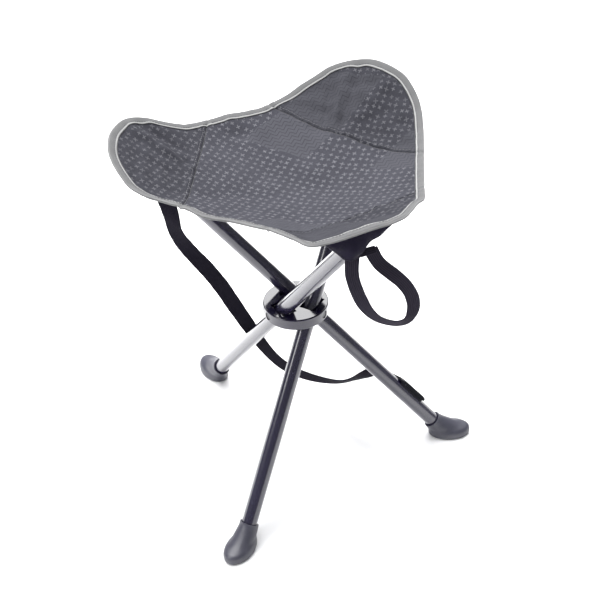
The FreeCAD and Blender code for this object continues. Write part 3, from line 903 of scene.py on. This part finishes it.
def seat_fabric(name, tone):
    """charcoal oxford cloth with a small scattered cross print in pale grey"""
    m = Nodes(name)

    def shade(r, b):
        return (r * tone, r * tone, b * tone)
    uv = m.uv()
    x, y, _ = m.xyz(uv)
    su = m.math("SINE", m.math("MULTIPLY", x, TAU / 0.00105))
    sv = m.math("SINE", m.math("MULTIPLY", y, TAU / 0.00105))
    weave = m.math("MULTIPLY", su, sv)
    slub = m.noise(m.mapping(uv, scale=(260, 1300, 1)), 1.0, 2.0)
    slub2 = m.noise(m.mapping(uv, scale=(1300, 260, 1)), 1.0, 2.0)
    heather = m.math("MULTIPLY", m.math("ADD", slub, slub2), 0.5)
    cloud = m.noise(uv, 14.0, 3.0)
    # print: small crosses at loose angles, and patches of fine zigzag lines
    p = m.mapping(uv, rot=(0, 0, 0.42), scale=(1 / 0.0088, 1 / 0.0088, 1))
    cell = m.vmath("FLOOR", p)
    f = m.vmath("SUBTRACT", m.vmath("SUBTRACT", p, cell), (0.5, 0.5, 0.0))
    cx, cy, _ = m.xyz(cell)
    par = m.math("FLOORED_MODULO", m.math("ADD", cx, cy), 2.0)
    rnd, rcol = m.white(cell)
    rr, rg, rb = m.xyz(rcol)
    ang = m.math("ADD", m.math("MULTIPLY", par, math.pi / 2), m.math("MULTIPLY", m.math("SUBTRACT", rnd, 0.5), 2.0))
    rot = m.t.nodes.new("ShaderNodeVectorRotate")
    rot.rotation_type = "Z_AXIS"
    loose = m.vmath("SCALE", m.vmath("SUBTRACT", rcol, (0.5, 0.5, 0.5)), scale=0.34)
    m.put(rot.inputs["Vector"], m.vmath("ADD", f, m.vmath("MULTIPLY", loose, (1.0, 1.0, 0.0))))
    m.put(rot.inputs["Angle"], ang)
    gx, gy, _ = m.xyz(rot.outputs[0])
    half = m.math("ADD", m.math("MULTIPLY", rg, 0.10), 0.20)
    wob = m.math("MULTIPLY", m.math("SUBTRACT", m.noise(uv, 900.0, 1.0), 0.5), 0.05)

    def arm(a, b):
        e = m.math("MAXIMUM", m.math("SUBTRACT", m.math("ABSOLUTE", a), half), 0.0)
        return m.math("SQRT", m.math("ADD", m.math("MULTIPLY", e, e), m.math("MULTIPLY", b, b)))
    d = m.math("ADD", m.math("MINIMUM", arm(gx, gy), arm(gy, gx)), wob)
    dash = m.mapr(d, 0.090, 0.045)
    qx, qy, _ = m.xyz(m.mapping(uv, rot=(0, 0, -0.35)))
    zig = m.math("FRACT", m.math("MULTIPLY", m.math("ADD", qy, m.math("PINGPONG", qx, 0.0056)), 1 / 0.0064))
    line = m.mapr(m.math("ABSOLUTE", m.math("SUBTRACT", zig, 0.5)), 0.115, 0.05)
    big = m.vmath("FLOOR", m.mapping(uv, rot=(0, 0, 0.62), scale=(1 / 0.090, 1 / 0.062, 1), loc=(0.35, 0.2, 0)))
    pick, _ = m.white(big)
    zone = m.mapr(pick, 0.62, 0.622)
    ink = m.math("MULTIPLY", dash, m.math("ADD", m.math("MULTIPLY", rb, 0.45), 0.55))
    ink = m.math("MULTIPLY", ink, m.mapr(heather, 0.3, 0.6, 0.7, 1.0))
    ink = m.math("MULTIPLY", ink, m.mapr(zone, 0.0, 1.0, 1.0, 0.0))
    ground = m.mix(m.mapr(heather, 0.32, 0.68), shade(0.028, 0.035), shade(0.054, 0.065))
    ground = m.mix(m.mapr(cloud, 0.35, 0.7, 0.0, 0.4), ground, shade(0.060, 0.072))
    ground = m.mix(m.math("MULTIPLY", zone, 0.30), ground, shade(0.100, 0.113))
    col = m.mix(m.math("MULTIPLY", ink, 0.95), ground, shade(0.150, 0.165))
    col = m.mix(m.math("MULTIPLY", m.math("MULTIPLY", line, zone), 0.6), col, (0.016, 0.016, 0.021))
    gap = m.mapr(weave, -1.0, 0.2, 0.22, 0.0)
    col = m.mix(gap, col, (0.02, 0.02, 0.024))
    h = m.math("ADD", m.math("MULTIPLY", weave, 0.5), m.math("MULTIPLY", heather, 1.2))
    h = m.math("ADD", h, m.math("MULTIPLY", ink, 0.25))
    m.set(Base_Color=col, Roughness=m.mapr(heather, 0.3, 0.7, 0.78, 0.92), Sheen_Weight=0.04, Sheen_Roughness=0.45,
          Specular_IOR_Level=0.06, Normal=m.bump(h, 0.45, 0.00025))
    m.bsdf.inputs["Sheen Tint"].default_value = (0.75, 0.76, 0.85, 1)
    return m.mat


def edge_tape_look():
    """pale grey ribbed edging tape, with a painted highlight along its inner fold and painted shade on the middle of
    its upper face
    """
    m = Nodes("edge_tape_look")
    uv = m.uv()
    x, y, _ = m.xyz(uv)
    rib = m.math("SINE", m.math("MULTIPLY", x, TAU / 0.0011))
    fine = m.math("SINE", m.math("MULTIPLY", y, TAU / 0.0007))
    fuzz = m.noise(uv, 1600.0, 2.0)
    soil = m.noise(uv, 45.0, 3.0)
    col = m.mix(m.mapr(fuzz, 0.3, 0.7), (0.150, 0.150, 0.152), (0.215, 0.215, 0.214))
    col = m.mix(m.mapr(soil, 0.45, 0.75, 0.0, 0.35), col, (0.115, 0.115, 0.12))
    col = m.mix(m.mapr(rib, -1.0, -0.2, 0.25, 0.0), col, (0.075, 0.075, 0.08))
    # painted highlight: across the first 0.3-2.7 mm of the tape, at its inner fold, the colour is mixed towards pale
    # grey, standing in for light catching the fold
    pale = m.math("MULTIPLY", m.mapr(y, 0.0003, 0.0007), m.mapr(y, 0.0027, 0.0021))
    col = m.mix(m.math("MULTIPLY", pale, 0.7), col, (0.33, 0.33, 0.325))
    # painted shade: from about 3 mm to 9.5 mm across the tape, its upper face, the colour is darkened; the outer wrap
    # and underside stay pale
    band = m.math("MULTIPLY", m.mapr(y, 0.0026, 0.0034), m.mapr(y, 0.0099, 0.0088))
    col = m.mix(m.math("MULTIPLY", band, 0.62), col, (0.062, 0.062, 0.064))
    h = m.math("ADD", m.math("MULTIPLY", rib, 0.6), m.math("MULTIPLY", fine, 0.2))
    h = m.math("ADD", h, m.math("MULTIPLY", fuzz, 0.5))
    m.set(Base_Color=col, Roughness=m.mapr(fuzz, 0.2, 0.8, 0.7, 0.9), Sheen_Weight=0.08, Sheen_Roughness=0.5,
          Specular_IOR_Level=0.3, Normal=m.bump(h, 0.5, 0.00022))
    return m.mat


def thread_look(name, c0, c1):
    m = Nodes(name)
    uv = m.uv()
    x, y, _ = m.xyz(uv)
    ply = m.math("SINE", m.math("ADD", m.math("MULTIPLY", x, TAU / 0.0009), m.math("MULTIPLY", y, TAU / 0.001)))
    col = m.mix(m.mapr(ply, -1, 1), c0, c1)
    m.set(Base_Color=col, Roughness=m.mapr(ply, -1, 1, 0.7, 0.55), Sheen_Weight=0.15,
          Normal=m.bump(ply, 0.4, 0.0001))
    return m.mat


def webbing_look(name, dark, pale, worn):
    """near-black woven tape with lengthwise ribs and a herringbone ground"""
    m = Nodes(name)
    uv = m.uv()
    x, y, _ = m.xyz(uv)
    rib = m.math("SINE", m.math("MULTIPLY", y, TAU / 0.0021))
    tri = m.math("PINGPONG", y, 0.00105)
    chev = m.math("SINE", m.math("ADD", m.math("MULTIPLY", x, TAU / 0.0015), m.math("MULTIPLY", tri, TAU / 0.0011)))
    fuzz = m.noise(m.mapping(uv, scale=(500, 1500, 1)), 1.0, 2.0)
    h = m.math("ADD", m.math("MULTIPLY", chev, 0.5), m.math("MULTIPLY", rib, 0.45))
    h = m.math("ADD", h, m.math("MULTIPLY", fuzz, 0.5))
    wear = m.mapr(m.math("ABSOLUTE", y), 0.0066, 0.0098, 0.0, 0.25)
    col = m.mix(m.mapr(h, -0.6, 1.1), dark, pale)
    col = m.mix(m.math("MULTIPLY", wear, fuzz), col, worn)
    m.set(Base_Color=col, Roughness=m.mapr(fuzz, 0.2, 0.8, 0.70, 0.88), Sheen_Weight=0.01, Sheen_Roughness=0.4,
          Specular_IOR_Level=0.09, Normal=m.bump(h, 0.6, 0.0003))
    return m.mat


def pocket_look():
    """thin dark lining cloth"""
    m = Nodes("pocket_cloth_look")
    uv = m.uv()
    x, y, _ = m.xyz(uv)
    su = m.math("SINE", m.math("MULTIPLY", x, TAU / 0.0008))
    sv = m.math("SINE", m.math("MULTIPLY", y, TAU / 0.0008))
    weave = m.math("MULTIPLY", su, sv)
    cloud = m.noise(uv, 60.0, 3.0)
    col = m.mix(m.mapr(cloud, 0.3, 0.75), (0.0070, 0.0054, 0.0150), (0.0140, 0.0112, 0.0270))
    col = m.mix(m.mapr(weave, -1, 0.3, 0.4, 0.0), col, (0.004, 0.004, 0.006))
    m.set(Base_Color=col, Roughness=m.mapr(cloud, 0.3, 0.7, 0.6, 0.8), Sheen_Weight=0.0, Specular_IOR_Level=0.03,
          Normal=m.bump(m.math("ADD", weave, cloud), 0.4, 0.0002))
    return m.mat


def paint_look():
    """dark anthracite gloss paint on steel tube"""
    m = Nodes("leg_paint_look")
    o = m.obj()
    peel = m.noise(o, 420.0, 2.0)
    dust = m.noise(o, 2600.0, 2.0)
    tone = m.noise(o, 18.0, 2.0)
    scuff = m.noise(m.mapping(o, rot=(0.3, 0.5, 0.2), scale=(900, 60, 900)), 1.0, 2.0)
    col = m.mix(m.mapr(tone, 0.3, 0.7), (0.013, 0.0105, 0.031), (0.020, 0.0165, 0.042))
    col = m.mix(m.mapr(scuff, 0.68, 0.8, 0.0, 0.25), col, (0.06, 0.06, 0.07))
    rough = m.math("ADD", m.mapr(dust, 0.3, 0.8, 0.20, 0.28), m.mapr(scuff, 0.66, 0.8, 0.0, 0.15))
    m.set(Base_Color=col, Roughness=rough, IOR=1.6, Coat_Weight=0.8, Coat_Roughness=0.10, Coat_IOR=1.65,
          Normal=m.bump(peel, 0.05, 0.0003))
    return m.mat


def hub_look():
    """glossy black moulded plastic"""
    m = Nodes("hub_plastic_look")
    o = m.obj()
    grain = m.noise(o, 900.0, 3.0)
    tone = m.noise(o, 40.0, 2.0)
    scr = m.noise(m.mapping(o, rot=(0, 0, 0.7), scale=(1800, 90, 200)), 1.0, 2.0)
    col = m.mix(m.mapr(tone, 0.3, 0.7), (0.008, 0.006, 0.024), (0.013, 0.010, 0.033))
    rough = m.math("ADD", m.mapr(tone, 0.3, 0.8, 0.10, 0.17), m.mapr(scr, 0.66, 0.82, 0.0, 0.2))
    # painted shade: inside the rim and below the top face (the slot walls) the plastic is made rougher, uncoated and
    # barely shiny, standing in for the shade inside the slots
    c = metres((0, 0, 0))
    x, y, z = m.xyz(m.vmath("SUBTRACT", o, (float(c[0]), float(c[1]), 0.0)))
    r = m.math("SQRT", m.math("ADD", m.math("MULTIPLY", x, x), m.math("MULTIPLY", y, y)))
    slot_shade = m.math("MULTIPLY", m.mapr(r, 0.0389, 0.0382), m.mapr(z, 0.25155, 0.2511))
    rough = m.math("ADD", rough, m.math("MULTIPLY", slot_shade, 0.5))
    m.set(Base_Color=col, Roughness=rough, IOR=1.55, Coat_Weight=m.mapr(slot_shade, 0.0, 1.0, 0.5, 0.0), Coat_Roughness=0.05,
          Coat_IOR=1.6, Specular_IOR_Level=m.mapr(slot_shade, 0.0, 1.0, 0.5, 0.08), Normal=m.bump(grain, 0.03, 0.0002))
    return m.mat


def foot_look():
    """satin grey moulded rubber-plastic, scuffed near the floor"""
    m = Nodes("foot_plastic_look")
    o = m.obj()
    grain = m.noise(o, 1500.0, 3.0, 0.6)
    tone = m.noise(o, 30.0, 3.0)
    _, _, z = m.xyz(o)
    low = m.math("MULTIPLY", m.mapr(z, 0.010, 0.0, 0.0, 1.0), m.mapr(m.noise(o, 160.0, 3.0), 0.42, 0.62))
    col = m.mix(m.mapr(tone, 0.3, 0.7), (0.050, 0.050, 0.069), (0.070, 0.070, 0.091))
    col = m.mix(m.math("MULTIPLY", low, 0.5), col, (0.15, 0.15, 0.155))
    m.set(Base_Color=col, Roughness=m.mapr(grain, 0.3, 0.7, 0.33, 0.45), Specular_IOR_Level=0.6,
          Normal=m.bump(grain, 0.16, 0.0003))
    return m.mat


def black_plastic_look():
    m = Nodes("black_plastic_look")
    o = m.obj()
    grain = m.noise(o, 1800.0, 3.0, 0.6)
    tone = m.noise(o, 50.0, 2.0)
    col = m.mix(m.mapr(tone, 0.3, 0.7), (0.010, 0.010, 0.014), (0.018, 0.018, 0.024))
    m.set(Base_Color=col, Roughness=m.mapr(grain, 0.3, 0.7, 0.55, 0.72), Specular_IOR_Level=0.08,
          Normal=m.bump(grain, 0.12, 0.0002))
    return m.mat


def steel_look():
    m = Nodes("steel_look")
    o = m.obj()
    brush = m.noise(m.mapping(o, scale=(3000, 300, 3000)), 1.0, 3.0)
    spot = m.noise(o, 220.0, 3.0)
    col = m.mix(m.mapr(spot, 0.4, 0.7), (0.060, 0.060, 0.068), (0.040, 0.040, 0.046))
    m.set(Base_Color=col, Metallic=1.0, Roughness=m.mapr(brush, 0.3, 0.7, 0.22, 0.38),
          Normal=m.bump(brush, 0.12, 0.0001))
    return m.mat


# painted shade: the corner panels get a darker copy of the seat cloth (tone 0.70 against 0.90), standing in for the
# corners tilting away from the light
FABRIC, SHADED_CORNER_FABRIC = seat_fabric("seat_fabric_look", 0.90), seat_fabric("corner_fabric_painted_shade_look", 0.70)
TAPE, LINING = edge_tape_look(), pocket_look()
WEB, LOOP_WEB = (webbing_look("strap_webbing_look", (0.0038, 0.0029, 0.0078), (0.0115, 0.0092, 0.0190), (0.026, 0.023, 0.033)),
                 webbing_look("loop_webbing_look", (0.016, 0.0140, 0.0220), (0.046, 0.0405, 0.0590), (0.080, 0.074, 0.096)))
THREAD_DARK = thread_look("dark_thread_look", (0.03, 0.03, 0.036), (0.07, 0.07, 0.08))
THREAD_PALE = thread_look("pale_thread_look", (0.07, 0.07, 0.08), (0.12, 0.12, 0.13))
# black cord material: painted shade for the shadow lines along the tape's inner edge and along the seams
SHADOW_CORD_BLACK = thread_look("shadow_cord_black_look", (0.006, 0.006, 0.008), (0.014, 0.014, 0.018))
PAINT, HUBLOOK, FOOT, BLACK, STEEL = paint_look(), hub_look(), foot_look(), black_plastic_look(), steel_look()


def dress(ob, mat):
    ob.data.materials.clear()
    ob.data.materials.append(mat)


for mid_panel, corner_panel, band, sew, seam_sew, tape_edge_shade_cord, seam_line, k in seat_cloth:
    dress(mid_panel, FABRIC)
    dress(corner_panel, SHADED_CORNER_FABRIC)
    dress(band, TAPE)
    dress(sew, THREAD_DARK)
    dress(seam_sew, THREAD_PALE)
    dress(tape_edge_shade_cord, SHADOW_CORD_BLACK)
    dress(seam_line, SHADOW_CORD_BLACK)
    for ob in (mid_panel, corner_panel):
        w, l, area = flat_size(ob)
for k, (ob, sew) in pockets.items():
    dress(ob, LINING)
    dress(sew, THREAD_DARK)
    w, l, area = flat_size(ob)
dress(carry_strap, WEB)
dress(closing_loop, LOOP_WEB)
dress(loop_tab, LOOP_WEB)
dress(saddle, BLACK)
dress(sewn_end, WEB)

LOOK = {"hub_body": HUBLOOK, "hub_pins": STEEL, "strap_clip": BLACK, "strap_clip_rivet": STEEL}
for k in CORNER_AZ:
    LOOK[k + "_leg_tube"] = PAINT
    LOOK[k + "_leg_foot"] = FOOT
    LOOK[k + "_leg_cap"] = BLACK
for name, mat in LOOK.items():
    ob = NODES[name]
    ob.data.materials.clear()
    ob.data.materials.append(mat)

# ---------------------------------------------------------------- studio


def plane(name, pts, mat):
    me = bpy.data.meshes.new(name)
    me.from_pydata(pts, [], [[0, 1, 2, 3]])
    ob = bpy.data.objects.new(name, me)
    me.materials.append(mat)
    scene.collection.objects.link(ob)
    return ob


def floor_look():
    m = Nodes("studio_floor")
    n = m.noise(m.obj(), 3.0, 2.0)
    m.set(Base_Color=m.mix(n, (0.93, 0.93, 0.93), (0.95, 0.95, 0.95)), Roughness=0.7, Specular_IOR_Level=0.2)
    return m.mat


def card_look():
    m = Nodes("studio_card")
    m.set(Base_Color=(0.004, 0.004, 0.005, 1), Roughness=0.9, Specular_IOR_Level=0.0)
    return m.mat


plane("studio_floor", [(-7, -7, 0), (7, -7, 0), (7, 7, 0), (-7, 7, 0)], floor_look())
card = plane("studio_card", [(-3, -6, 0.002), (3.5, -6, 0.002), (3.5, -1.5, 0.002), (-3, -1.5, 0.002)], card_look())
card.visible_camera = False
card.visible_diffuse = False
card.visible_shadow = False

world = bpy.data.worlds.new("studio")
scene.world = world
world.use_nodes = True
bg = world.node_tree.nodes["Background"]
bg.inputs[0].default_value = (0.86, 0.88, 0.95, 1)
bg.inputs[1].default_value = 0.26


def area_light(name, pos, aim, size, power, color=(1, 1, 1)):
    d = bpy.data.lights.new(name, "AREA")
    d.shape = "RECTANGLE"
    d.size, d.size_y = size
    d.energy = power
    d.color = color
    ob = bpy.data.objects.new(name, d)
    ob.location = pos
    ob.rotation_euler = (Vector(aim) - Vector(pos)).to_track_quat("-Z", "Y").to_euler()
    scene.collection.objects.link(ob)
    ob.visible_camera = False
    return ob


area_light("overhead", (-0.2, 0.5, 2.6), (0, 0.3, 0), (2.2, 2.2), 150.0)
area_light("back_softbox", (0.0, 2.1, 1.9), (0, 0, 0.25), (2.6, 1.3), 60.0)
area_light("left_softbox", (-1.7, -1.0, 1.6), (0, 0, 0.25), (0.9, 1.3), 22.0)

scene.view_settings.view_transform = "Standard"
scene.view_settings.look = "None"
scene.view_settings.exposure = 0.0
scene.view_settings.gamma = 1.0
